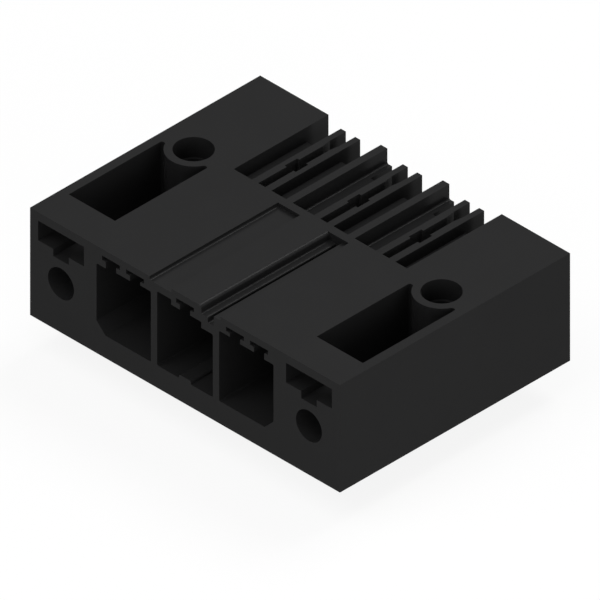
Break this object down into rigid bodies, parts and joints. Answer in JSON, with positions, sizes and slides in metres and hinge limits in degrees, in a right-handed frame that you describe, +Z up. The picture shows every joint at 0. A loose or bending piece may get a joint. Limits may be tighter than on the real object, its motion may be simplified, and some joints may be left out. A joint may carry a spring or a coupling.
{
  "type": "pcb header connector",
  "caption": "Right-angle power header for a circuit board: keyed mating cavities between two screw flanges, with fins and ribs that part its contacts.",
  "frame": {"origin": "centre of the flat underside that sits on the circuit board", "axes": "+Z up from the board, +X along the row of poles, -Y out of the mating face"},
  "size_m": [0.0382, 0.0284, 0.0149],
  "materials": {
    "housing": "near-black moulded plastic, satin",
    "contacts": "tin-plated copper alloy",
    "flange_nuts": "zinc-plated steel"
  },
  "bodies": {
    "root": {"housing": "housing", "contact_1": "contacts", "contact_2": "contacts", "contact_3": "contacts", "flange_nut_left": "flange_nuts", "flange_nut_right": "flange_nuts"}
  },
  "joints": []
}
